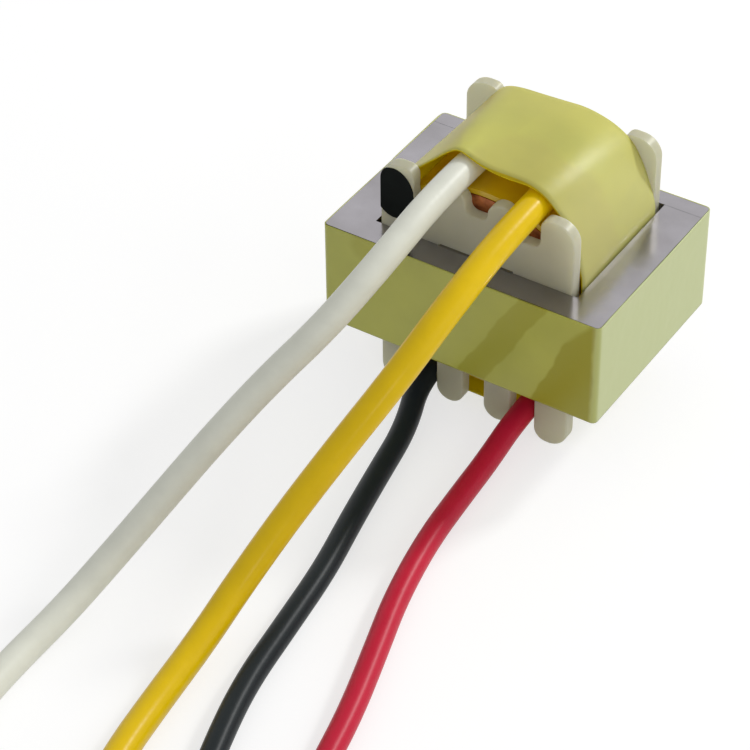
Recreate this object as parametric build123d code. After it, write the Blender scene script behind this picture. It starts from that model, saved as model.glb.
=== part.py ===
from build123d import *
import math
import os

# Small audio or signal transformer with four flying leads.
# All lengths are in millimetres. X runs along the long side of the core, Y from the side where
# the leads come out to the back, and Z up. The origin is on the ground under the middle of the core.

# Core: E plates of silicon steel, put in from the front, each closed by an I plate at the back.
plate_width = 19.0
plate_depth = 13.7
plate_thickness = 0.515
plate_count = 14
outer_leg_width = 2.5
yoke_width = 1.85
bar_width = 1.13
tongue_width = 5.0
plate_corner_radius = 0.25
joint_gap = 0.02

# Tape round the four sides of the core, with a second turn that ends on the left side.
core_tape_wall = 0.08
core_tape_gap = 0.01
core_tape_flap_wall = 0.04
core_tape_flap_length = 5.5

# Bobbin: a square tube round the tongue, with a flange at each end.
flange_thickness = 0.8
flange_side_clearance = 0.35
flange_end_clearance = 0.02
tube_clearance = 0.1
tube_wall = 0.6
flange_rim_radius = 0.12

# Lugs of the flanges, measured from the faces of the core.
front_ear_rise = 4.7
back_ear_rise = 4.85
middle_lug_rise = 4.48
foot_drop = 4.9
middle_lug_drop = 4.7
lead_slot_width = 1.7
middle_slot_width = 1.5
lead_slot_floor = 2.5
middle_slot_floor = 3.0
lower_slot_floor = 1.3
slot_corner_radius = 0.5
# How much of what the slots leave of the flange goes to its middle lugs. The ears get the rest.
middle_lug_share = 0.452
# Rounding of an ear's and a foot's outer and inner corner, as shares of their width, and of a
# middle lug's end, as a share of its half width.
ear_outer_round_share = 0.565
ear_inner_round_share = 0.26
foot_inner_round_share = 0.38
lug_round_share = 0.98

# Windings and their tape, from the tube outwards.
layer_gap = 0.02
coil_end_clearance = 0.05
primary_bulge = 2.2
layer_tape_wall = 0.08
wrap_wall = 0.36
wrap_edge_setback = 0.06
wrap_window_clearance = 0.8
coil_top_bulge = 4.35
coil_bottom_bulge = 2.9
# How much of the room between the tube and the inner tape the primary fills, beside the core.
primary_share = 0.5

# Outer tape, pulled over the leads like a tent.
tent_wall = 0.12
tent_window_clearance = 0.1
tent_rise = 6.9
tent_drop = 4.2
tent_base_rise = 0.3
# Corners that its smooth outline is drawn to. Above the core they run from the left window edge to
# the right one: how far out as a share of its half width, and how far up as a share of its rise.
# At the front it stands over the two leads and dips between them.
tent_front_shares = [
    (-0.978, 0.232), (-0.884, 0.428), (-0.710, 0.597), (-0.493, 0.804), (-0.348, 0.942),
    (-0.246, 0.986), (-0.145, 0.942), (0.0, 0.887), (0.217, 0.865), (0.449, 0.881),
    (0.594, 0.826), (0.710, 0.717), (0.826, 0.594), (0.906, 0.420), (0.957, 0.217),
]
tent_back_shares = [
    (-0.978, 0.217), (-0.891, 0.355), (-0.783, 0.493), (-0.681, 0.638), (-0.572, 0.768),
    (-0.420, 0.814), (-0.174, 0.823), (0.058, 0.835), (0.261, 0.848), (0.478, 0.804),
    (0.623, 0.739), (0.739, 0.652), (0.833, 0.500), (0.899, 0.348), (0.957, 0.188),
]
# Below the core they run from the right window edge to the middle, as shares of the half width
# and of the drop.
tent_under_shares = [(0.920, 0.500), (0.770, 0.840), (0.600, 1.0), (0.300, 1.0), (0.0, 1.0)]

# Leads: insulated hook-up wire, with a stripped and tinned end.
top_lead_diameter = 1.8
top_conductor_diameter = 0.9
bottom_lead_diameter = 1.5
bottom_conductor_diameter = 0.7
tip_length = 5.0
joint_length = 2.2
joint_overhang = 0.05
# Size of the cut edge at the end of a tinned lead, as a share of its diameter.
tip_chamfer_share = 0.15

# Ink dot on the left front ear, which marks the start of the winding.
dot_thickness = 0.03
dot_half_width = 1.42
dot_half_height = 1.8
dot_height = 2.6
dot_inset = 0.95

# How far a cutting shape runs past what it cuts.
overrun = 1.0

# Sizes that follow from the ones above.
stack_height = plate_count * plate_thickness
core_bottom = foot_drop
core_top = core_bottom + stack_height
core_middle = (core_bottom + core_top) / 2
half_window = plate_width / 2 - outer_leg_width
window_front = yoke_width - plate_depth / 2
window_back = plate_depth / 2 - bar_width
half_window_length = (window_back - window_front) / 2
coil_place = (0, (window_front + window_back) / 2, core_middle)
half_bobbin = half_window_length - flange_end_clearance
flange_inner = half_bobbin - flange_thickness
flange_half_width = half_window - flange_side_clearance
hole_half_width = tongue_width / 2 + tube_clearance
hole_half_height = stack_height / 2 + tube_clearance
tube_half_width = hole_half_width + tube_wall
tube_half_height = hole_half_height + tube_wall
half_winding = flange_inner - coil_end_clearance
half_wrap = half_winding - wrap_edge_setback
lug_inside = middle_slot_width / 2
lug_outside = lug_inside + middle_lug_share * (flange_half_width - lug_inside - lead_slot_width)
ear_inside = lug_outside + lead_slot_width
ear_width = flange_half_width - ear_inside
wrap_half_width = half_window - wrap_window_clearance
tent_half_width = half_window - tent_window_clearance

# Routes of the leads, each from its solder joint under the tape to the end of its insulation.
white_route = [
    (-1.5, -0.6, 17.35), (-1.45, -6.6, 17.63), (-1.45, -13.0, 16.55), (-2.6, -17.1, 14.2),
    (-4.6, -20.1, 11.4), (-6.4, -23.1, 8.4), (-8.0, -26.1, 5.4), (-9.3, -29.6, 2.8),
    (-10.0, -33.5, 1.25), (-10.2, -38.1, 0.93), (-9.9, -42.2, 0.95), (-9.3, -46.1, 0.93),
]
yellow_route = [
    (3.38, -0.6, 16.8), (3.4, -6.6, 16.87), (3.35, -13.1, 15.7), (2.5, -17.6, 13.0),
    (1.0, -21.3, 9.7), (-0.5, -24.4, 6.3), (-1.55, -27.8, 3.3), (-1.85, -31.4, 1.45),
    (-1.6, -35.9, 0.93), (-1.0, -40.4, 0.95), (-0.1, -44.4, 0.93),
]
black_route = [
    (-3.5, -1.9, 1.66), (-3.5, -5.6, 1.62), (-2.2, -9.2, 0.86), (-1.4, -13.6, 0.8),
    (-0.5, -18.1, 0.8), (0.45, -22.3, 0.8), (1.1, -27.2, 0.8), (1.75, -32.3, 0.8),
    (3.1, -37.2, 0.8), (4.7, -41.7, 0.8), (5.7, -46.1, 0.8), (6.1, -49.6, 0.8),
]
red_route = [
    (3.5, -1.9, 1.66), (3.5, -5.6, 1.62), (3.6, -9.2, 0.86), (3.8, -12.4, 0.8),
    (4.2, -17.0, 0.8), (5.2, -22.0, 0.8), (6.5, -26.2, 0.8), (7.95, -31.1, 0.8),
    (8.9, -35.7, 0.8), (10.5, -40.1, 0.8), (11.9, -44.6, 0.8), (12.6, -48.6, 0.8),
]
# Share of the shorter run that an arc of a lead takes up on each side of its corner.
route_arc_share = 0.45


def outline_face(points, radii):
    """Closed face in the XZ plane, with its corners rounded."""
    path = [Vector(x, 0, z) for x, z in points]
    return Face(Wire(FilletPolyline(*path, radius=radii, close=True).edges()))


def slab(face, y_from, y_to):
    """Carry a face that lies in the XZ plane along Y, from one place to another."""
    start = Pos(0, y_from, 0) * face
    return extrude(start, amount=y_to - y_from, dir=(0, 1, 0))


def box_between(x_from, x_to, y_from, y_to, z_from, z_to):
    """Block between two corners."""
    middle = Pos((x_from + x_to) / 2, (y_from + y_to) / 2, (z_from + z_to) / 2)
    return middle * Box(x_to - x_from, y_to - y_from, z_to - z_from)


def mirrored(points):
    """Half outline on the +X side, from the middle outwards, completed on the -X side."""
    return [(-x, z) for x, z in reversed(points)] + points


def e_plate(bottom):
    """E plate with its yoke at the front."""
    z_from, z_to = bottom - overrun, bottom + plate_thickness + overrun
    open_end = window_back - joint_gap
    plate = plate_blank(bottom) - box_between(
        -plate_width, plate_width, open_end, plate_depth, z_from, z_to
    )
    for x_from, x_to in ((tongue_width / 2, half_window), (-half_window, -tongue_width / 2)):
        plate -= box_between(x_from, x_to, window_front, plate_depth, z_from, z_to)
    return plate


def i_plate(bottom):
    """I plate that closes the E plate's open end at the back."""
    z_from, z_to = bottom - overrun, bottom + plate_thickness + overrun
    return plate_blank(bottom) & box_between(
        -plate_width, plate_width, window_back, plate_depth, z_from, z_to
    )


def plate_blank(bottom):
    """Outer rectangle that an E and an I plate fill together."""
    sketch = RectangleRounded(plate_width, plate_depth, plate_corner_radius)
    return Pos(0, 0, bottom) * extrude(sketch, amount=plate_thickness)


def core_tape():
    """Two turns of tape round the core, with the free end of the outer turn on the left side."""
    inner_width = plate_width + 2 * core_tape_gap
    inner_depth = plate_depth + 2 * core_tape_gap
    inner_radius = plate_corner_radius + core_tape_gap
    outer = RectangleRounded(
        inner_width + 2 * core_tape_wall, inner_depth + 2 * core_tape_wall,
        inner_radius + core_tape_wall,
    )
    ring = extrude(outer - RectangleRounded(inner_width, inner_depth, inner_radius), stack_height)
    wall_face = -inner_width / 2 - core_tape_wall
    back = inner_depth / 2 - inner_radius
    flap = box_between(
        wall_face - core_tape_flap_wall, wall_face, back - core_tape_flap_length, back,
        0, stack_height,
    )
    return Pos(0, 0, core_bottom) * (ring + flap)


def flange_outline(ear_rise):
    """Flange with two ears and two middle lugs above the core, and four feet below it."""
    half_stack = stack_height / 2
    half_top = [
        (lug_inside, half_stack + middle_slot_floor),
        (lug_inside, half_stack + middle_lug_rise),
        (lug_outside, half_stack + middle_lug_rise),
        (lug_outside, half_stack + lead_slot_floor),
        (ear_inside, half_stack + lead_slot_floor),
        (ear_inside, half_stack + ear_rise),
        (flange_half_width, half_stack + ear_rise),
    ]
    half_bottom = [
        (lug_inside, -half_stack - lower_slot_floor),
        (lug_inside, -half_stack - middle_lug_drop),
        (lug_outside, -half_stack - middle_lug_drop),
        (lug_outside, -half_stack - lower_slot_floor),
        (ear_inside, -half_stack - lower_slot_floor),
        (ear_inside, -half_stack - foot_drop),
        (flange_half_width, -half_stack - foot_drop),
    ]
    lug_radius = lug_round_share * min(
        (lug_outside - lug_inside) / 2, middle_lug_rise - middle_slot_floor - slot_corner_radius
    )
    inner_radii = [
        slot_corner_radius, lug_radius, lug_radius, slot_corner_radius, slot_corner_radius,
    ]
    outer_radius = ear_width * ear_outer_round_share
    top_radii = inner_radii + [ear_width * ear_inner_round_share, outer_radius]
    bottom_radii = inner_radii + [ear_width * foot_inner_round_share, outer_radius]
    points = mirrored(half_top) + list(reversed(mirrored(half_bottom)))
    radii = [top_radii[::-1], top_radii, bottom_radii[::-1], bottom_radii]
    return outline_face(points, sum(radii, []))


def flange(y_from, y_to, ear_rise, outer_y):
    """One end plate of the bobbin, with the rim of its outer face rounded."""
    plate = slab(flange_outline(ear_rise), y_from, y_to)
    rim = plate.edges().filter_by(lambda edge: abs(edge.center().Y - outer_y) < flange_rim_radius)
    return fillet(rim, flange_rim_radius)


def bobbin():
    """Moulded nylon bobbin: two flanges on a tube, open from end to end for the tongue."""
    front = flange(-half_bobbin, -flange_inner, front_ear_rise, -half_bobbin)
    back = flange(flange_inner, half_bobbin, back_ear_rise, half_bobbin)
    tube = box_between(
        -tube_half_width, tube_half_width, -flange_inner, flange_inner,
        -tube_half_height, tube_half_height,
    )
    hole = box_between(
        -hole_half_width, hole_half_width, -half_bobbin - overrun, half_bobbin + overrun,
        -hole_half_height, hole_half_height,
    )
    return Pos(*coil_place) * (front + tube + back - hole)


def coil_section(half_width, top_bulge, bottom_bulge):
    """Face of a wound layer: straight sides beside the core, crowned above and below it."""
    half_stack = stack_height / 2
    upper = Ellipse(half_width, top_bulge) & Pos(0, top_bulge, 0) * Rectangle(
        4 * half_width, 2 * top_bulge
    )
    lower = Ellipse(half_width, bottom_bulge) & Pos(0, -bottom_bulge, 0) * Rectangle(
        4 * half_width, 2 * bottom_bulge
    )
    sides = Rectangle(2 * half_width, stack_height)
    section = Pos(0, half_stack, 0) * upper + sides + Pos(0, -half_stack, 0) * lower
    return Plane.XZ * section


def layer(outer, inner, half_length):
    """Sleeve between two faces of the coil, centred along Y."""
    ring = slab(outer, -half_length, half_length) - slab(
        inner, -half_length - overrun, half_length + overrun
    )
    return Pos(*coil_place) * ring


def tube_section(clearance):
    """Outside of the bobbin's tube, with room for the first layer."""
    return Plane.XZ * Rectangle(
        2 * (tube_half_width + clearance), 2 * (tube_half_height + clearance)
    )


def inset_outline(points, wall):
    """Move each side of a clockwise outline inwards by the wall and meet them again in corners."""
    moved = []
    for index, point in enumerate(points):
        before = Vector(*point) - Vector(*points[index - 1])
        after = Vector(*points[(index + 1) % len(points)]) - Vector(*point)
        normal_before = Vector(before.Y, -before.X) / before.length
        normal_after = Vector(after.Y, -after.X) / after.length
        corner = (normal_before + normal_after) / (1 + normal_before.dot(normal_after))
        moved.append((point[0] + wall * corner.X, point[1] + wall * corner.Y))
    return moved


def smooth_face(points):
    """Closed face in the XZ plane: each side of the outline is touched at its middle, and an
    even curve runs from there to the middle of the next side."""
    corners = [Vector(x, 0, z) for x, z in points]
    middles = [(corner + corners[index - 1]) / 2 for index, corner in enumerate(corners)]
    bends = [
        Bezier(middles[index], corner, middles[(index + 1) % len(corners)])
        for index, corner in enumerate(corners)
    ]
    return Face(Wire([bend.edge() for bend in bends]))


def tent_outline(shares):
    """Corners of the outer tape, clockwise from the left window edge."""
    half_stack = stack_height / 2
    dome = [(x * tent_half_width, half_stack + z * tent_rise) for x, z in shares]
    right = [
        (x * tent_half_width, -half_stack - z * tent_drop) for x, z in tent_under_shares
    ]
    left = [(-x, z) for x, z in reversed(right[:-1])]
    edge = half_stack + tent_base_rise
    return (
        [(-tent_half_width, edge)] + dome + [(tent_half_width, edge), (tent_half_width, -edge)]
        + right + left + [(-tent_half_width, -edge)]
    )


def tent_solid(front_points, back_points):
    """Solid between the outline at the front edge of the tape and the one at its back edge."""
    front = Pos(0, -half_wrap, 0) * smooth_face(front_points)
    back = Pos(0, half_wrap, 0) * smooth_face(back_points)
    return loft([front, back], ruled=True)


def outer_tape():
    """Outer wrap of tape: straight between the things that it is pulled over."""
    front = tent_outline(tent_front_shares)
    back = tent_outline(tent_back_shares)
    inside = tent_solid(inset_outline(front, tent_wall), inset_outline(back, tent_wall))
    return Pos(*coil_place) * (tent_solid(front, back) - inside)


def route_radii(route):
    """Largest arc that each corner of a route has room for."""
    corners = [Vector(*point) for point in route]
    radii = []
    for start, corner, end in zip(corners, corners[1:], corners[2:]):
        run_in, run_out = corner - start, end - corner
        half_turn = math.radians(run_in.get_angle(run_out)) / 2
        radii.append(route_arc_share * min(run_in.length, run_out.length) / math.tan(half_turn))
    return radii


def lead(name, route, diameter):
    """Insulated wire along its route: straight runs joined by tangent arcs."""
    radii = route_radii(route)
    path = FilletPolyline(*[Vector(*point) for point in route], radius=radii)
    section = Plane(origin=path @ 0, z_dir=path % 0) * Circle(diameter / 2)
    solid = sweep(section, path=path)
    ideal = math.pi * diameter ** 2 / 4 * path.length
    print(
        f"{name}: length {path.length:.1f}, least radius {min(radii):.1f}, "
        f"volume {solid.volume:.2f} for {ideal:.2f}"
    )
    return solid


def lead_tip(route, diameter):
    """Stripped and tinned end of a lead, in line with its last run."""
    end = Vector(*route[-1])
    along = (end - Vector(*route[-2])).normalized()
    rod = Plane(origin=end, z_dir=along) * Cylinder(
        diameter / 2, tip_length, align=(Align.CENTER, Align.CENTER, Align.MIN)
    )
    return chamfer(rod.edges().sort_by(Axis((*end,), (*along,)))[-1], diameter * tip_chamfer_share)


def solder_joint(route, diameter):
    """Soldered joint with the coil's wire, a bead in line with the hidden end of a lead."""
    start = Vector(*route[0])
    radius = diameter / 2 + joint_overhang
    along = (start - Vector(*route[1])).normalized()
    bead = Cylinder(
        radius, joint_length - radius, align=(Align.CENTER, Align.CENTER, Align.MIN)
    ) + Pos(0, 0, joint_length - radius) * Sphere(radius)
    return Plane(origin=start, z_dir=along) * bead


def ink_dot():
    """Ink on the front of the left ear, cut off by the ear's outline."""
    blob = Plane.XZ * Ellipse(dot_half_width, dot_half_height)
    place = Pos(-flange_half_width + dot_inset, 0, stack_height / 2 + dot_height)
    ear = slab(flange_outline(front_ear_rise), -half_bobbin - dot_thickness, -half_bobbin)
    dab = slab(place * blob, -half_bobbin - dot_thickness, -half_bobbin)
    return Pos(*coil_place) * (dab & ear)


def write(name, solid):
    """Write one piece to its own file."""
    export_step(solid, f"parts/{name}.step")


def build():
    """Make every piece and write it."""
    os.makedirs("parts", exist_ok=True)
    for index in range(plate_count):
        bottom = core_bottom + index * plate_thickness
        write(f"e_lamination_{index + 1:02d}", e_plate(bottom))
        write(f"i_lamination_{index + 1:02d}", i_plate(bottom))
    write("core_tape", core_tape())
    write("bobbin", bobbin())

    primary_width = tube_half_width + primary_share * (wrap_half_width - tube_half_width)
    tape_width = primary_width + layer_gap + layer_tape_wall
    secondary_width = wrap_half_width - wrap_wall - layer_gap
    secondary_top = coil_top_bulge - wrap_wall - layer_gap
    secondary_bottom = coil_bottom_bulge - wrap_wall - layer_gap
    bulge = primary_bulge
    primary = coil_section(primary_width, bulge, bulge)
    under_tape = coil_section(primary_width + layer_gap, bulge + layer_gap, bulge + layer_gap)
    tape_bulge = bulge + layer_gap + layer_tape_wall
    over_tape = coil_section(tape_width, tape_bulge, tape_bulge)
    under_secondary = coil_section(
        tape_width + layer_gap, tape_bulge + layer_gap, tape_bulge + layer_gap
    )
    secondary = coil_section(secondary_width, secondary_top, secondary_bottom)
    under_wrap = coil_section(
        secondary_width + layer_gap, secondary_top + layer_gap, secondary_bottom + layer_gap
    )
    over_wrap = coil_section(wrap_half_width, coil_top_bulge, coil_bottom_bulge)
    write("primary_winding", layer(primary, tube_section(layer_gap), half_winding))
    write("interlayer_tape", layer(over_tape, under_tape, half_winding))
    write("secondary_winding", layer(secondary, under_secondary, half_winding))
    write("inner_tape", layer(over_wrap, under_wrap, half_wrap))
    write("outer_tape", outer_tape())

    leads = (
        ("white", white_route, top_lead_diameter, top_conductor_diameter),
        ("yellow", yellow_route, top_lead_diameter, top_conductor_diameter),
        ("black", black_route, bottom_lead_diameter, bottom_conductor_diameter),
        ("red", red_route, bottom_lead_diameter, bottom_conductor_diameter),
    )
    for name, route, diameter, conductor in leads:
        write(f"{name}_lead", lead(name, route, diameter))
        write(f"{name}_lead_tip", lead_tip(route, conductor))
        write(f"{name}_solder_joint", solder_joint(route, conductor))
    write("polarity_dot", ink_dot())


build()
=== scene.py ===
# %% [markdown]
# A small taped transformer with four wire leads, dressed for a studio picture. The rigid shapes
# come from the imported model. This lesson adds what a drawing leaves out: tape that is pulled over
# wires, film that has wetted out in patches, soft vinyl leads and stranded ends.
# Everything is in metres, and the origin is on the ground under the middle of the core.

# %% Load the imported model
import math

import bpy
import numpy as np
from mathutils import Matrix, Vector


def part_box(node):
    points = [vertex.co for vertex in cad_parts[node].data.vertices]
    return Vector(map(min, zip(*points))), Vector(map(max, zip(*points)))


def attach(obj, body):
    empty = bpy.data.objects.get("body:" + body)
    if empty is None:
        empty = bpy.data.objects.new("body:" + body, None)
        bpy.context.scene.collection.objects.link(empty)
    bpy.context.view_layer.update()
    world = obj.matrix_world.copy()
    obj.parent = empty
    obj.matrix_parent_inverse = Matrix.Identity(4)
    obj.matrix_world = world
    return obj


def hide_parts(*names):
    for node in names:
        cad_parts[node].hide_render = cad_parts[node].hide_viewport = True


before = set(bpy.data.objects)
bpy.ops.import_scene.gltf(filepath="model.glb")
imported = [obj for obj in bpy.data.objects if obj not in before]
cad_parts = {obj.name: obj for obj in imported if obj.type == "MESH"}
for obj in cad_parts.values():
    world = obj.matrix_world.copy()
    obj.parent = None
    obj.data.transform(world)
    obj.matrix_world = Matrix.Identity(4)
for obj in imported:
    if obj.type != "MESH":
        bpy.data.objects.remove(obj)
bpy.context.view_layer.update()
MM = 0.001

# %% [markdown]
# The camera comes first, because every later choice is judged through it. It looks down on the
# transformer from its right front corner with a long lens, so that parallel edges stay nearly
# parallel. Three angles and a distance are easier to read than a matrix, so the matrix is made
# from them.

# %% Camera
camera_azimuth = math.radians(33.13)
camera_elevation = math.radians(40.24)
camera_roll = math.radians(-0.6)
camera_aim = Vector((-4.924, -8.457, 3.311)) * MM
camera_distance = 177.94 * MM
camera_lens = 139.2


def camera_matrix(azimuth, elevation, roll, aim, distance):
    """Place of a camera that looks at the aim point. Its forward direction has the azimuth and the
    elevation, and its right and up directions are turned about it by the roll."""
    level = math.cos(elevation)
    forward = Vector((-math.sin(azimuth) * level, math.cos(azimuth) * level, -math.sin(elevation)))
    flat_right = Vector((math.cos(azimuth), math.sin(azimuth), 0))
    flat_up = flat_right.cross(forward)
    right = flat_right * math.cos(roll) + flat_up * math.sin(roll)
    up = right.cross(forward)
    turn = Matrix((right, up, -forward)).transposed().to_4x4()
    return Matrix.Translation(aim - forward * distance) @ turn


camera_data = bpy.data.cameras.new("studio_camera")
camera_data.lens = camera_lens
camera_data.clip_start = 10 * MM
camera_data.clip_end = 10
camera = bpy.data.objects.new("studio_camera", camera_data)
camera.matrix_world = camera_matrix(
    camera_azimuth, camera_elevation, camera_roll, camera_aim, camera_distance
)
bpy.context.scene.collection.objects.link(camera)
bpy.context.scene.camera = camera
print("camera at", [round(v / MM, 1) for v in camera.location], "mm")

# %% [markdown]
# The leads are soft hook-up wire. Each is one smooth curve that leaves the coil straight, droops
# under its own weight and lies on the table. A NURBS spline of order three does that with few
# points, because its bend changes evenly from one point to the next. The curve's bevel gives it
# its thickness.

# %% Leads
lead_diameter = {"white": 1.8 * MM, "yellow": 1.8 * MM, "black": 1.5 * MM, "red": 1.5 * MM}
lead_length = {"white": 52.3 * MM, "yellow": 49.6 * MM, "black": 48.9 * MM, "red": 47.9 * MM}
lead_routes = {
    "white": [
        (-1.5, -0.6, 17.35), (-1.45, -6.6, 17.63), (-1.45, -13.0, 16.55), (-2.6, -17.1, 14.2),
        (-4.6, -20.1, 11.4), (-6.4, -23.1, 8.4), (-8.0, -26.1, 5.4), (-9.3, -29.6, 2.8),
        (-10.0, -33.5, 1.25), (-10.2, -38.1, 0.93), (-9.9, -42.2, 0.95), (-9.3, -46.1, 0.93),
    ],
    "yellow": [
        (3.38, -0.6, 16.8), (3.4, -6.6, 16.87), (3.35, -13.1, 15.7), (2.5, -17.6, 13.0),
        (1.0, -21.3, 9.7), (-0.5, -24.4, 6.3), (-1.55, -27.8, 3.3), (-1.85, -31.4, 1.45),
        (-1.6, -35.9, 0.93), (-1.0, -40.4, 0.95), (-0.1, -44.4, 0.93),
    ],
    "black": [
        (-3.5, -1.9, 1.66), (-3.5, -5.6, 1.62), (-2.2, -9.2, 0.86), (-1.4, -13.6, 0.8),
        (-0.5, -18.1, 0.8), (0.45, -22.3, 0.8), (1.1, -27.2, 0.8), (1.75, -32.3, 0.8),
        (3.1, -37.2, 0.8), (4.7, -41.7, 0.8), (5.7, -46.1, 0.8), (6.1, -49.6, 0.8),
    ],
    "red": [
        (3.5, -1.9, 1.66), (3.5, -5.6, 1.62), (3.6, -9.2, 0.86), (3.8, -12.4, 0.8),
        (4.2, -17.0, 0.8), (5.2, -22.0, 0.8), (6.5, -26.2, 0.8), (7.95, -31.1, 0.8),
        (8.9, -35.7, 0.8), (10.5, -40.1, 0.8), (11.9, -44.6, 0.8), (12.6, -48.6, 0.8),
    ],
}
round_steps = 10
run_steps = 16


def make_lead(colour):
    """Round curve along the lead's route, thick as its insulation, with closed ends."""
    data = bpy.data.curves.new(f"{colour}_wire", "CURVE")
    data.dimensions = "3D"
    data.resolution_u = run_steps
    data.bevel_depth = lead_diameter[colour] / 2
    data.bevel_resolution = round_steps
    data.use_fill_caps = True
    spline = data.splines.new("NURBS")
    points = np.array(lead_routes[colour]) * MM
    spline.points.add(len(points) - 1)
    spline.points.foreach_set("co", np.c_[points, np.ones(len(points))].ravel())
    spline.order_u = 3
    spline.use_endpoint_u = True
    wire = bpy.data.objects.new(f"{colour}_wire", data)
    bpy.context.scene.collection.objects.link(wire)
    return wire


wires = {colour: make_lead(colour) for colour in lead_routes}
for colour, length in lead_length.items():
    print(f"{colour} lead: {length / MM:.1f} mm")

# %% [markdown]
# New surfaces are worked out with numpy as whole arrays. A grid of points has one parameter that
# runs round a piece and one that runs along it. These helpers turn such a grid into a mesh, with
# faces that point outwards.

# %% Grid helpers
def rounded_loop(corners, count):
    """Closed quadratic B-spline: each point of the curve is a weighted mean of three neighbouring
    corners, and the weights slide smoothly from one corner to the next."""
    corners = np.asarray(corners, float)
    t = np.arange(count) * len(corners) / count
    first = np.floor(t).astype(int)
    part = (t - first)[:, None]
    ring = [corners[(first + step) % len(corners)] for step in range(3)]
    return (
        0.5 * (1 - part) ** 2 * ring[0] + (0.5 + part - part ** 2) * ring[1]
        + 0.5 * part ** 2 * ring[2]
    )


def grid_faces(rows, columns):
    """Index quads of a grid whose last column joins its first."""
    row, column = np.meshgrid(np.arange(rows - 1), np.arange(columns), indexing="ij")
    here = row * columns + column
    beside = row * columns + (column + 1) % columns
    return np.stack([here, beside, beside + columns, here + columns], -1).reshape(-1, 4)


def make_piece(name, points, faces):
    """Smooth mesh object at the origin, with its place in its points. It rides on the one body."""
    mesh = bpy.data.meshes.new(name)
    mesh.from_pydata(points.reshape(-1, 3).tolist(), [], faces.tolist())
    mesh.polygons.foreach_set("use_smooth", np.full(len(mesh.polygons), True))
    mesh.update()
    piece = bpy.data.objects.new(name, mesh)
    bpy.context.scene.collection.objects.link(piece)
    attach(piece, "root")
    print(f"{name}: {len(mesh.vertices)} points")
    return piece


def solidify(piece, wall):
    """Give a single skin its wall, inwards from the skin."""
    modifier = piece.modifiers.new("wall", "SOLIDIFY")
    modifier.thickness = wall
    modifier.offset = -1
    return piece


# %% [markdown]
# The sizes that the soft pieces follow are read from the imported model, so that the tapes lie where
# the core and the coil are.

# %% Sizes from the model
core_low, core_high = (np.array(corner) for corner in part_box("core_tape"))
coil_low, coil_high = (np.array(corner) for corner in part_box("outer_tape"))
core_top, core_bottom = core_high[2], core_low[2]
coil_half = coil_high[0]
coil_front, coil_back = coil_low[1], coil_high[1]
print(f"core top at {core_top / MM:.2f} mm")
print(f"coil tape from {coil_front / MM:.2f} to {coil_back / MM:.2f} mm")

# %% [markdown]
# The outer tape is polyester film pulled tight over the coil and over the two upper leads. At the
# back it follows the crowned coil. At the front it stands on the white lead like a tent, dips, and
# comes down over the yellow one. One outline is drawn at each edge, and the film between them is
# straight, like any stretched sheet, and then swollen a little. A real wrap has several turns that
# never line up, so there are two. The upper one has a shallow notch in its front edge where the
# film sags between the leads, and the lower one peeps out there.

# %% Outer tape
tape_wall = 0.06 * MM
tape_rise = 6.9 * MM
tape_drop = 4.2 * MM
tape_edge = 0.3 * MM
tape_bulge = 0.38 * MM
bulge_fade_height = 3 * MM
bulge_fade_width = 4 * MM
tape_rows, tape_columns = 24, 560
front_margin = 0.02 * MM
notch_depth, notch_middle, notch_width = 0.2 * MM, 1.6 * MM, 1.5 * MM
under_turn_setback = 0.05 * MM
tape_front_shares = np.array([
    (-0.978, 0.232), (-0.884, 0.428), (-0.710, 0.597), (-0.493, 0.804), (-0.348, 0.942),
    (-0.246, 0.986), (-0.145, 0.942), (0.0, 0.887), (0.217, 0.865), (0.449, 0.881),
    (0.594, 0.826), (0.710, 0.717), (0.826, 0.594), (0.906, 0.420), (0.957, 0.217),
])
tape_back_shares = np.array([
    (-0.978, 0.217), (-0.891, 0.355), (-0.783, 0.493), (-0.681, 0.638), (-0.572, 0.768),
    (-0.420, 0.814), (-0.174, 0.823), (0.058, 0.835), (0.261, 0.848), (0.478, 0.804),
    (0.623, 0.739), (0.739, 0.652), (0.833, 0.500), (0.899, 0.348), (0.957, 0.188),
])
tape_under_shares = np.array([
    (0.920, 0.500), (0.770, 0.840), (0.600, 1.0), (0.300, 1.0), (0.0, 1.0),
    (-0.300, 1.0), (-0.600, 1.0), (-0.770, 0.840), (-0.920, 0.500),
])


def tape_loop(upper_shares):
    """Closed outline of the tape in the XZ plane: the upper corners stand on the core's top, the
    lower ones hang under its bottom, and the window sides join them."""
    above = upper_shares * [coil_half, tape_rise] + [0, core_top]
    below = tape_under_shares * [coil_half, -tape_drop] + [0, core_bottom]
    high, low = core_top + tape_edge, core_bottom - tape_edge
    left, right = [(-coil_half, low), (-coil_half, high)], [(coil_half, high), (coil_half, low)]
    return rounded_loop(np.concatenate([left, above, right, below]), tape_columns)


def tape_turn(front, back):
    """Grid of one turn: each row is a blend of the front and back outlines, and the share of the
    back one grows evenly from edge to edge. The edges may be arrays, one place per column."""
    share = np.linspace(0, 1, tape_rows)[:, None, None]
    ring = (1 - share) * tape_loop(tape_front_shares) + share * tape_loop(tape_back_shares)
    front, back = (np.broadcast_to(edge, tape_columns)[None, :, None] for edge in (front, back))
    return np.concatenate([ring[..., :1], front + (back - front) * share, ring[..., 1:]], -1)


def shrink(points, distance):
    """Move a turn inwards, along the normal of its outline in the XZ plane. The distance may be
    one number or one for each point."""
    run = np.roll(points, -1, 1) - np.roll(points, 1, 1)
    normal = np.stack([run[..., 2], np.zeros(run.shape[:2]), -run[..., 0]], -1)
    normal /= np.linalg.norm(normal, axis=-1, keepdims=True)
    return points + np.broadcast_to(distance, run.shape[:2])[..., None] * normal


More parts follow.
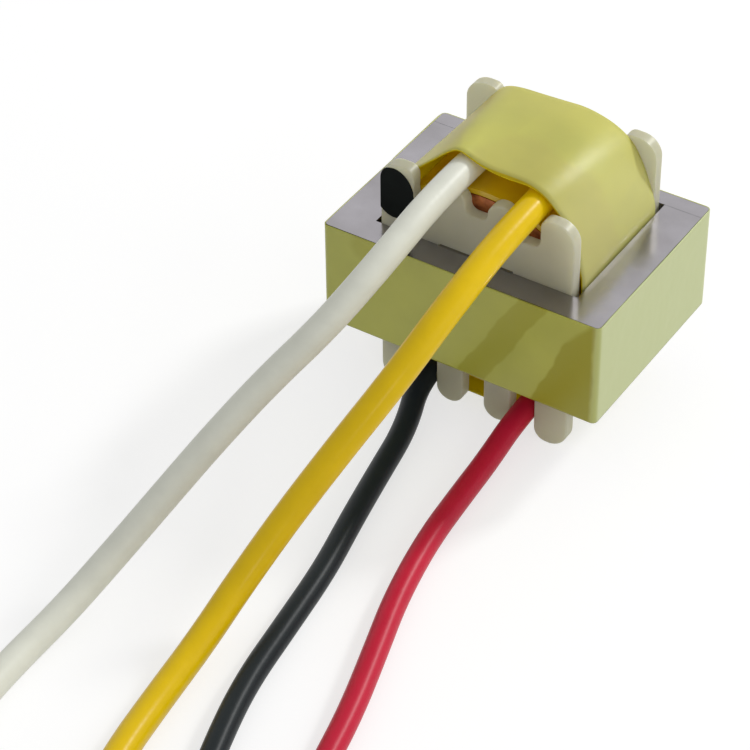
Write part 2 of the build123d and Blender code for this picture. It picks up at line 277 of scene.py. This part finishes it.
def bulged(points):
    """Swell a turn outwards between its two edges. The swelling is a parabola along Y. It fades out
    towards the core, because the window holds the sides straight, and on the left, where the
    white lead pulls the film flat."""
    share = np.linspace(-1, 1, tape_rows)[:, None]
    above = np.clip((points[..., 2] - core_top) / bulge_fade_height, 0, 1)
    free = np.clip((points[..., 0] + bulge_fade_width) / bulge_fade_width, 0, 1)
    return shrink(points, -tape_bulge * (1 - share ** 2) * above * free)


def bell(values, middle, width):
    """Smooth bump of height one: e to the power of minus the square of the distance to its middle,
    counted in widths."""
    return np.exp(-((values - middle) / width) ** 2)


def make_turn(name, points):
    """One turn of the outer tape, from its grid of points."""
    piece = make_piece(name, points, grid_faces(tape_rows, tape_columns))
    return solidify(piece, tape_wall)


edge_x, edge_z = tape_loop(tape_front_shares).T
notch = notch_depth * bell(edge_x, notch_middle, notch_width) * (edge_z > core_top)
upper_turn = bulged(tape_turn(coil_front + front_margin + notch, coil_back))
lower_turn = shrink(bulged(tape_turn(coil_front, coil_back - under_turn_setback)), tape_wall)
outer_tape = make_turn("outer_tape_turn", upper_turn)
under_tape = make_turn("outer_tape_under_turn", lower_turn)
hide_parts("outer_tape")

# %% [markdown]
# The core's tape is wound round its four sides and ends in a flap on the left. Its top edge is cut
# by hand, so it isn't quite straight. The glue has wetted the steel in some places, and the film
# looks darker there: those patches are stored with the points, so that they stay on the tape.
# Their places are X from the middle of the core and Z from its bottom. The band and the patch lean
# by a slope of X over Z, and the upper edge of the patch, its roof, rises by a slope of Z over X.

# %% Core tape
core_tape_wall = 0.08 * MM
flap_front, flap_step = 1.1 * MM, 0.035 * MM
flap_slope, flap_end = 0.1 * MM, 0.5 * MM
ring_rows, ring_columns = 72, 640
front_density = 4
corner_radius, corner_points = 0.34 * MM, 13
edge_dip, dip_length_x, dip_length_y = 0.015 * MM, 2.3 * MM, 1.7 * MM
wobbles = [(0.07 * MM, 0.62 * MM), (0.03 * MM, 0.19 * MM)]
band_slope, band_width, band_strength = 0.57, 1.95 * MM, 0.75
patch_slope, patch_left, patch_right = 0.41, 5.2 * MM, 9.25 * MM
roof_slope, roof_x, roof_z = 1.25, 7.47 * MM, 5.4 * MM
spot_x, spot_z, spot_radius, spot_strength = -6.6 * MM, 6.6 * MM, 1.0 * MM, 0.5
# The right side of the core tape is painted paler, as painted light and sheen of the side lamp. The
# blur and the places of that painted light are set here.
edge_blur, patch_blur, side_light_blur = 0.16 * MM, 0.5 * MM, 0.3 * MM
front_depth, side_light_left, side_light_front, strip_side_light = 0.3 * MM, 9.2 * MM, 0.25 * MM, 0.45


def box_ring(half_x, half_y, radius, count):
    """Rounded rectangle in the XY plane: four quarter circles about the corner centres, joined by
    straight runs. The steps along it are of one length, but shorter by the front density on the
    front, where the patches lie."""
    turn = np.arange(4)[:, None] * math.pi / 2 + np.linspace(0, math.pi / 2, corner_points)
    centres = np.array([(1, 1), (-1, 1), (-1, -1), (1, -1)]) * [half_x - radius, half_y - radius]
    path = (centres[:, None] + radius * np.stack([np.cos(turn), np.sin(turn)], -1)).reshape(-1, 2)
    path = np.concatenate([path, path[:1]])
    on_front = (path[1:, 1] + path[:-1, 1]) / 2 < radius - half_y
    length = np.linalg.norm(np.diff(path, axis=0), axis=1)
    run = np.r_[0, np.cumsum(length * np.where(on_front, front_density, 1))]
    place = np.linspace(0, run[-1], count, endpoint=False)
    return np.stack([np.interp(place, run, path[:, 0]), np.interp(place, run, path[:, 1])], -1)


def soft_side(distance, width=edge_blur):
    """Share from zero to one across a soft edge: it rises evenly over the width."""
    return np.clip(distance / width + 0.5, 0, 1)


def wetting(points):
    """How far the glue has wetted the steel: a slanted band and a larger patch beside the right
    corner on the front, and a small round spot near the left end. The edges of the first two are
    straight lines in the XZ plane, with a little wobble along their height."""
    x, z = points[..., 0], points[..., 2] - core_bottom
    x = x + sum(width * np.sin(z / length) for width, length in wobbles)
    slant = x - band_slope * z
    band = soft_side(slant) * soft_side(band_width - slant)
    roof = soft_side(roof_z + roof_slope * (x - roof_x) - z, patch_blur)
    patch = soft_side(x - patch_slope * z - patch_left) * soft_side(patch_right - x) * roof
    spot = soft_side(spot_radius - np.hypot(x - spot_x, z - spot_z), patch_blur)
    front = points[..., 1] < core_low[1] + front_depth
    return np.clip(band_strength * band + patch + spot_strength * spot, 0, 1) * front


def painted_side_light(points):
    """Share of the painted side light: a paler colour that stands in for the light and sheen of the
    side lamp, fully on the right side, and on the front only in a narrow strip before the corner."""
    strip = soft_side(points[..., 0] - side_light_left, side_light_blur)
    side = soft_side(points[..., 1] - core_low[1] - side_light_front, side_light_blur)
    return strip * (strip_side_light + (1 - strip_side_light) * side)


def core_tape_points():
    """Grid of the tape: the ring, lifted on the left where the flap lies, and its rows from the
    core's bottom to an edge that dips by a few hundredths."""
    x, y = box_ring(core_high[0], core_high[1], corner_radius, ring_columns).T
    dip = edge_dip * (2 + np.sin(x / dip_length_x) + np.sin(y / dip_length_y + 1))
    on_left = x < -core_high[0] + flap_slope
    rise = soft_side(y - flap_front, flap_slope)
    fall = soft_side(core_high[1] - flap_end - y, 3 * flap_slope)
    x = x - flap_step * on_left * rise * fall
    share = np.linspace(0, 1, ring_rows)[:, None]
    z = core_bottom + share * (core_top - dip - core_bottom)
    return np.stack([np.broadcast_to(x, z.shape), np.broadcast_to(y, z.shape), z], -1)


def store(piece, name, values):
    """Keep one number per point on the mesh, for its material."""
    attribute = piece.data.attributes.new(name, "FLOAT", "POINT")
    attribute.data.foreach_set("value", values.ravel().astype(np.float32))


ring_points = core_tape_points()
ring_faces = grid_faces(ring_rows, ring_columns)
core_wrap = make_piece("core_tape_ring", ring_points, ring_faces)
store(core_wrap, "wetting", wetting(ring_points))
# Painted side light: the share of the paler colour that stands in for the side lamp's light.
store(core_wrap, "painted_side_light", painted_side_light(ring_points))
solidify(core_wrap, core_tape_wall)
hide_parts("core_tape")

# %% [markdown]
# Materials are made from nodes, so that they need no picture files. A small helper makes a
# Principled surface, and each finish adds what the real one shows: a change of colour, of gloss or
# of height, at the size that it has on the object.

# %% Material helpers
def new_material(name):
    """Empty node material, with its Principled shader."""
    material = bpy.data.materials.new(name)
    material.use_nodes = True
    return material, material.node_tree.nodes["Principled BSDF"]


def object_noise(material, scale, detail=3, stretch=(1, 1, 1)):
    """Noise on Object coordinates. The scale is in waves per metre, and the stretch multiplies
    it along each axis."""
    nodes, links = material.node_tree.nodes, material.node_tree.links
    place = nodes.new("ShaderNodeTexCoord")
    mapping = nodes.new("ShaderNodeMapping")
    mapping.inputs["Scale"].default_value = stretch
    noise = nodes.new("ShaderNodeTexNoise")
    noise.inputs["Scale"].default_value = scale
    noise.inputs["Detail"].default_value = detail
    links.new(place.outputs["Object"], mapping.inputs["Vector"])
    links.new(mapping.outputs["Vector"], noise.inputs["Vector"])
    return noise


def drive(material, socket, noise, low, high, places=(0.3, 0.7)):
    """Let a noise set a socket of the Principled shader. The value runs from the low colour to the
    high one, between two places on the noise's scale from zero to one."""
    nodes, links = material.node_tree.nodes, material.node_tree.links
    ramp = nodes.new("ShaderNodeValToRGB")
    for element, place, colour in zip(ramp.color_ramp.elements, places, (low, high)):
        element.position = place
        element.color = (*colour, 1)
    links.new(noise.outputs["Fac"], ramp.inputs["Fac"])
    links.new(ramp.outputs["Color"], nodes["Principled BSDF"].inputs[socket])


def add_bump(material, noise, height):
    """Raise the surface by a height in metres where the noise is one."""
    nodes, links = material.node_tree.nodes, material.node_tree.links
    bump = nodes.new("ShaderNodeBump")
    bump.inputs["Distance"].default_value = height
    links.new(noise.outputs["Fac"], bump.inputs["Height"])
    links.new(bump.outputs["Normal"], nodes["Principled BSDF"].inputs["Normal"])


def set_shader(shader, **values):
    """Set sockets of the Principled shader by name, with spaces as underscores."""
    for name, value in values.items():
        shader.inputs[name.replace("_", " ")].default_value = value


def tint_by(material, stored_name, colour):
    """Mix the film's colour with another one by a stored number."""
    nodes, links = material.node_tree.nodes, material.node_tree.links
    shader = nodes["Principled BSDF"]
    film = shader.inputs["Base Color"].links[0].from_socket
    stored = nodes.new("ShaderNodeAttribute")
    stored.attribute_name = stored_name
    mix = nodes.new("ShaderNodeMixRGB")
    mix.inputs["Color2"].default_value = (*colour, 1)
    links.new(stored.outputs["Fac"], mix.inputs["Fac"])
    links.new(film, mix.inputs["Color1"])
    links.new(mix.outputs["Color"], shader.inputs["Base Color"])


def let_light_through(material, colour, share):
    """Add the light that soaks through something thin: a share of the surface is translucent."""
    nodes, links = material.node_tree.nodes, material.node_tree.links
    inside = nodes.new("ShaderNodeBsdfTranslucent")
    inside.inputs["Color"].default_value = (*colour, 1)
    mix = nodes.new("ShaderNodeMixShader")
    mix.inputs["Fac"].default_value = share
    links.new(nodes["Principled BSDF"].outputs[0], mix.inputs[1])
    links.new(inside.outputs[0], mix.inputs[2])
    links.new(mix.outputs[0], nodes["Material Output"].inputs["Surface"])


def dress(piece, material):
    """Give a piece its one material."""
    piece.data.materials.clear()
    piece.data.materials.append(material)


def scaled(colour, factor):
    """The same colour, lighter or darker."""
    return tuple(part * factor for part in colour)


def grey(value):
    """Colour with the same value in red, green and blue."""
    return (value, value, value)


# %% [markdown]
# Film tape is clear polyester with a thin yellow glue behind it. It is smooth and faintly glossy.
# The turns on the coil let light through, and the lower one, with more film over it, is deeper in
# colour. The upper one has a painted sheen: a paler, whiter colour is painted on the left, where it
# stands free of the coil, and a little on the right, and it stands in for the sheen of the room's
# light. That share is stored with its points.

# %% Film tape on the coil
film_colour = (0.71, 0.75, 0.235)
# Paler, whiter colour for the painted sheen on the upper turn.
sheen_colour = (0.80, 0.82, 0.42)
film_glow = (0.95, 0.86, 0.06)
under_colour = (0.60, 0.52, 0.022)
film_roughness, film_clearness = 0.4, 0.45
under_roughness, under_clearness = 0.36, 0.8
sheen_left, sheen_left_blur = -4 * MM, 2.5 * MM
sheen_right, sheen_right_blur, sheen_right_share = 5 * MM, 1.5 * MM, 0.45


def film_material(name, colour, roughness):
    """Yellow film: broad clouds of colour, and a faint unevenness of the wound layers below."""
    material, shader = new_material(name)
    clouds = object_noise(material, 260, detail=4)
    drive(material, "Base Color", clouds, scaled(colour, 0.93), scaled(colour, 1.06))
    add_bump(material, object_noise(material, 420, detail=2), 0.05 * MM)
    set_shader(shader, Roughness=roughness, IOR=1.5, Specular_IOR_Level=0.6)
    return material


coil_film = film_material("coil_film", film_colour, film_roughness)
# Painted sheen: the film's colour is mixed towards the paler one.
tint_by(coil_film, "painted_sheen", sheen_colour)
let_light_through(coil_film, film_glow, film_clearness)
under_film = film_material("under_film", under_colour, under_roughness)
let_light_through(under_film, film_glow, under_clearness)
# Painted sheen: the upper turn is painted paler on its left wall and a little on its right side.
turn_x = upper_turn[..., 0]
sheen_on_left = soft_side(sheen_left - turn_x, sheen_left_blur)
sheen_on_right = sheen_right_share * soft_side(turn_x - sheen_right, sheen_right_blur)
store(outer_tape, "painted_sheen", sheen_on_left + sheen_on_right)
dress(outer_tape, coil_film)
dress(under_tape, under_film)

# %% [markdown]
# Vinyl insulation is extruded, so its surface is smooth, with only a very fine unevenness. Each
# colour has its own gloss.

# %% Vinyl leads
lead_colour = {
    "white": (0.77, 0.78, 0.68), "yellow": (0.81, 0.545, 0.001),
    "black": (0.014, 0.019, 0.021), "red": (0.56, 0.010, 0.040),
}
lead_roughness = {"white": 0.42, "yellow": 0.30, "black": 0.38, "red": 0.38}
lead_gloss = {"white": 0.4, "yellow": 0.2, "black": 0.14, "red": 0.2}


def vinyl_material(colour_name):
    """Smooth vinyl with slight clouds of colour and a fine unevenness."""
    material, shader = new_material(f"{colour_name}_vinyl")
    colour = lead_colour[colour_name]
    clouds = object_noise(material, 700)
    drive(material, "Base Color", clouds, scaled(colour, 0.96), scaled(colour, 1.03))
    add_bump(material, object_noise(material, 3000, detail=2), 0.008 * MM)
    set_shader(
        shader, Roughness=lead_roughness[colour_name], IOR=1.52,
        Specular_IOR_Level=lead_gloss[colour_name],
    )
    return material


for colour, wire in wires.items():
    dress(wire, vinyl_material(colour))
    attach(wire, "root")
    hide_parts(f"{colour}_lead")

# %% [markdown]
# The stripped end of a lead is a twist of seven tinned strands: one in the middle and six round it,
# each a third as thick as the end. A strand is a helix round the end's axis, with a tube carried
# along it. The strands are kept a little thinner, so that they stay inside the solid's outline.

# %% Stranded ends
outer_strands = 6
strand_share = 1 / 3
strand_fit = 0.99
strand_twist = 1.6
strand_rows, strand_columns = 72, 14
rounded_from = 0.965
tip_length = 5.0 * MM


def strand(radius, phase, orbit, start, across, up, along, length):
    """Tube along a helix: the helix goes round the axis at the orbit's radius, and the tube goes
    round the helix. Near the end the tube's radius follows an ellipse down to nothing."""
    share = np.linspace(0, 1, strand_rows)[:, None]
    turn = phase + strand_twist * math.tau * share
    round_angle = np.linspace(0, math.tau, strand_columns, endpoint=False)[None, :]
    near_end = np.clip((share - rounded_from) / (1 - rounded_from), 0, 1)
    thickness = radius * np.sqrt(1 - near_end ** 2)
    a = orbit * np.cos(turn) + thickness * np.cos(round_angle)
    b = orbit * np.sin(turn) + thickness * np.sin(round_angle)
    c = np.broadcast_to(share * length, a.shape)
    return start + a[..., None] * across + b[..., None] * up + c[..., None] * along


def make_tip(colour):
    """Seven strands twisted together, in line with the end of the lead."""
    route = np.array(lead_routes[colour]) * MM
    start = route[-1]
    along = (route[-1] - route[-2]) / np.linalg.norm(route[-1] - route[-2])
    across = np.cross(along, [0, 0, 1])
    across /= np.linalg.norm(across)
    up = np.cross(across, along)
    tip_low, tip_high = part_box(f"{colour}_lead_tip")
    radius = strand_share * (tip_high.z - tip_low.z) / 2 * strand_fit
    phases = [0.0] + [math.tau * index / outer_strands for index in range(outer_strands)]
    orbits = [0.0] + [2 * radius] * outer_strands
    grids = [
        strand(radius, phase, orbit, start, across, up, along, tip_length)
        for phase, orbit in zip(phases, orbits)
    ]
    quads = grid_faces(strand_rows, strand_columns)[:, ::-1]
    size = strand_rows * strand_columns
    faces = np.concatenate([quads + index * size for index in range(len(grids))])
    tip = make_piece(f"{colour}_strands", np.concatenate(grids), faces)
    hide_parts(f"{colour}_lead_tip")
    return tip


tips = {colour: make_tip(colour) for colour in lead_routes}

# %% [markdown]
# Each lead's real length is listed beside its route and printed.

# %% [markdown]
# Tin and solder are bright but never polished, and they pick up the colour of the room.

# %% Tin and solder
def tin_material():
    """Tinned copper: metal with a soft cloudy gloss."""
    material, shader = new_material("tin")
    clouds = object_noise(material, 2200)
    drive(material, "Roughness", clouds, grey(0.24), grey(0.42))
    add_bump(material, clouds, 0.01 * MM)
    set_shader(shader, Base_Color=(0.62, 0.61, 0.58, 1), Metallic=1.0)
    return material


tin = tin_material()
for colour in lead_routes:
    dress(tips[colour], tin)
    dress(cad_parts[f"{colour}_solder_joint"], tin)

# %% [markdown]
# Core steel is rolled sheet with a thin oxide skin. It mirrors what stands on it, a little
# blurred, and the rolling leaves fine lines along the plate.

# %% Core steel
def steel_material():
    """Rolled steel: grey metal with slow clouds of colour, and a gloss in fine lines along X."""
    material, shader = new_material("core_steel")
    lines = object_noise(material, 900, detail=4, stretch=(0.08, 1, 1))
    clouds = object_noise(material, 330)
    darker, lighter = (0.33, 0.315, 0.33), (0.41, 0.395, 0.42)
    drive(material, "Base Color", clouds, darker, lighter, places=(0.3, 0.72))
    drive(material, "Roughness", lines, grey(0.17), grey(0.23))
    add_bump(material, lines, 0.004 * MM)
    set_shader(shader, Metallic=1.0)
    return material


steel = steel_material()
plates = [node for name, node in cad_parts.items() if "lamination" in name]
for plate in plates:
    dress(plate, steel)
print("plates dressed:", len(plates))

# %% [markdown]
# The bobbin is natural nylon, which lets light through. Subsurface scattering gives it a soft,
# slightly waxy look, and a translucent share makes the free ears brighter than the flange, which
# has the coil behind it.

# %% Nylon bobbin
def nylon_material():
    """Natural nylon: off-white, softly lit from inside, with a faint moulding grain."""
    material, shader = new_material("nylon")
    clouds = object_noise(material, 320)
    drive(material, "Base Color", clouds, (0.60, 0.59, 0.455), (0.69, 0.675, 0.545))
    add_bump(material, object_noise(material, 5000, detail=2), 0.004 * MM)
    set_shader(
        shader, Roughness=0.36, Subsurface_Weight=0.7, Subsurface_Scale=0.9 * MM,
        Subsurface_Radius=(1.0, 0.9, 0.6), IOR=1.53,
    )
    return material


nylon_glow, nylon_clearness = (0.86, 0.86, 0.73), 0.42
nylon = nylon_material()
let_light_through(nylon, nylon_glow, nylon_clearness)
dress(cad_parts["bobbin"], nylon)

# %% [markdown]
# The windings are enamelled copper. Only the end of the coil shows, deep in the slots.

# %% Copper
def copper_material():
    """Enamelled copper: orange brown metal under a clear skin, in fine layers."""
    material, shader = new_material("copper")
    layers = object_noise(material, 1400, detail=2, stretch=(1, 0.2, 1))
    darker, lighter = (0.20, 0.05, 0.012), (0.50, 0.16, 0.05)
    drive(material, "Base Color", layers, darker, lighter, places=(0.35, 0.65))
    add_bump(material, layers, 0.02 * MM)
    set_shader(shader, Metallic=0.6, Roughness=0.32)
    return material


copper = copper_material()
for name in ("primary_winding", "secondary_winding"):
    dress(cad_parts[name], copper)

# %% [markdown]
# The inner tape lies on the copper and is seen only in the shade of the tent, where the glue and
# the copper below turn it amber.

# %% Inner tape
amber_colour, amber_roughness = (0.66, 0.44, 0.005), 0.3
amber_film = film_material("amber_film", amber_colour, amber_roughness)
dress(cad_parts["inner_tape"], amber_film)
dress(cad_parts["interlayer_tape"], amber_film)

# %% [markdown]
# The tape round the core has the same film on dark steel. Where the glue has wetted the steel it is
# darker. The right side is painted paler, a painted light and sheen that stands in for the side
# lamp. Both come from the numbers that were stored with the points.

# %% Core film
core_colour, core_roughness = (0.455, 0.465, 0.07), 0.33
wet_colour = (0.345, 0.33, 0.014)
# Paler colour painted on the right side, a painted light and sheen of the side lamp.
side_light_colour = (0.50, 0.545, 0.24)
core_film = film_material("core_film", core_colour, core_roughness)
tint_by(core_film, "wetting", wet_colour)
# Painted light: the right side is mixed towards the paler colour.
tint_by(core_film, "painted_side_light", side_light_colour)
dress(core_wrap, core_film)

# %% [markdown]
# The dot on the left ear is marker ink. It is matt and nearly black, and it soaks slightly uneven
# into the nylon.

# %% Ink
def ink_material():
    """Marker ink: nearly black, uneven in colour, with a weak gloss."""
    material, shader = new_material("marker_ink")
    clouds = object_noise(material, 1200)
    drive(material, "Base Color", clouds, (0.001, 0.002, 0.0015), (0.003, 0.005, 0.004))
    set_shader(shader, Roughness=0.6, Specular_IOR_Level=0.08)
    return material


dress(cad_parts["polarity_dot"], ink_material())

# %% [markdown]
# The studio is a white table and a white room. The table shows white to the camera and keeps a
# soft shadow: part of its light is its own, and only for rays that the camera, a gloss or a clear
# body sees, so that it doesn't brighten the object.

# %% Table
half_table = 1.0
table_colour = 0.8
table_seen_colour = 0.42
table_own_light = 0.66


def seen_directly(material_tree):
    """Factor that is one for camera, glossy and transmission rays."""
    nodes, links = material_tree.nodes, material_tree.links
    path = nodes.new("ShaderNodeLightPath")
    first = nodes.new("ShaderNodeMath")
    second = nodes.new("ShaderNodeMath")
    first.operation = second.operation = "MAXIMUM"
    links.new(path.outputs["Is Camera Ray"], first.inputs[0])
    links.new(path.outputs["Is Glossy Ray"], first.inputs[1])
    links.new(first.outputs[0], second.inputs[0])
    links.new(path.outputs["Is Transmission Ray"], second.inputs[1])
    return second.outputs[0]


def table_material():
    """Matt table. Rays that see it directly get a darker matt surface plus a light of its own."""
    material, shader = new_material("white_table")
    nodes, links = material.node_tree.nodes, material.node_tree.links
    nodes.remove(shader)
    plain = nodes.new("ShaderNodeBsdfDiffuse")
    plain.inputs["Color"].default_value = (*grey(table_colour), 1)
    shaded = nodes.new("ShaderNodeBsdfDiffuse")
    shaded.inputs["Color"].default_value = (*grey(table_seen_colour), 1)
    glow = nodes.new("ShaderNodeEmission")
    glow.inputs["Strength"].default_value = table_own_light
    both = nodes.new("ShaderNodeAddShader")
    mix = nodes.new("ShaderNodeMixShader")
    links.new(shaded.outputs[0], both.inputs[0])
    links.new(glow.outputs[0], both.inputs[1])
    links.new(seen_directly(material.node_tree), mix.inputs["Fac"])
    links.new(plain.outputs[0], mix.inputs[1])
    links.new(both.outputs[0], mix.inputs[2])
    links.new(mix.outputs[0], nodes["Material Output"].inputs["Surface"])
    return material


table_corners = np.array([(-1, -1, 0), (1, -1, 0), (1, 1, 0), (-1, 1, 0)]) * half_table
table_mesh = bpy.data.meshes.new("table")
table_mesh.from_pydata(table_corners.tolist(), [], [(0, 1, 2, 3)])
table = bpy.data.objects.new("table", table_mesh)
bpy.context.scene.collection.objects.link(table)
dress(table, table_material())

# %% [markdown]
# The key lamp stands behind and to the right, and it draws the highlight on the shoulder of the
# tape. A lamp low on the right lights the end of the core, and a weak one at the right front draws
# the pale band along the leads that hang in the air. The white room fills in the rest.

# %% Room and lamps
room_fill = 0.51
key_place = Vector((0.168, 0.33, 0.28))
key_power = 1.0
key_size = 0.07
side_place = Vector((0.40, 0.02, 0.17))
side_power = 0.19
side_size = 0.3
front_place = Vector((0.30, -0.285, 0.20))
front_power = 0.13
front_size = 0.07


def make_room():
    """World that is white where it is seen directly, and gives a plain fill light."""
    world = bpy.data.worlds.new("white_room")
    world.use_nodes = True
    bpy.context.scene.world = world
    nodes, links = world.node_tree.nodes, world.node_tree.links
    fill = nodes["Background"]
    fill.inputs["Color"].default_value = (1, 1, 1, 1)
    fill.inputs["Strength"].default_value = room_fill
    shown = nodes.new("ShaderNodeBackground")
    shown.inputs["Color"].default_value = (1, 1, 1, 1)
    shown.inputs["Strength"].default_value = 1.0
    mix = nodes.new("ShaderNodeMixShader")
    links.new(seen_directly(world.node_tree), mix.inputs["Fac"])
    links.new(fill.outputs[0], mix.inputs[1])
    links.new(shown.outputs[0], mix.inputs[2])
    links.new(mix.outputs[0], nodes["World Output"].inputs["Surface"])


def make_lamp(name, place, power, size):
    """Square soft lamp that faces the middle of the core."""
    data = bpy.data.lights.new(name, "AREA")
    data.energy = power
    data.size = size
    lamp = bpy.data.objects.new(name, data)
    lamp.location = place
    lamp.rotation_mode = "QUATERNION"
    lamp.rotation_quaternion = (-place).to_track_quat("-Z", "Y")
    bpy.context.scene.collection.objects.link(lamp)


make_room()
make_lamp("key_lamp", key_place, key_power, key_size)
make_lamp("side_lamp", side_place, side_power, side_size)
make_lamp("front_lamp", front_place, front_power, front_size)
bpy.context.scene.view_settings.view_transform = "Standard"
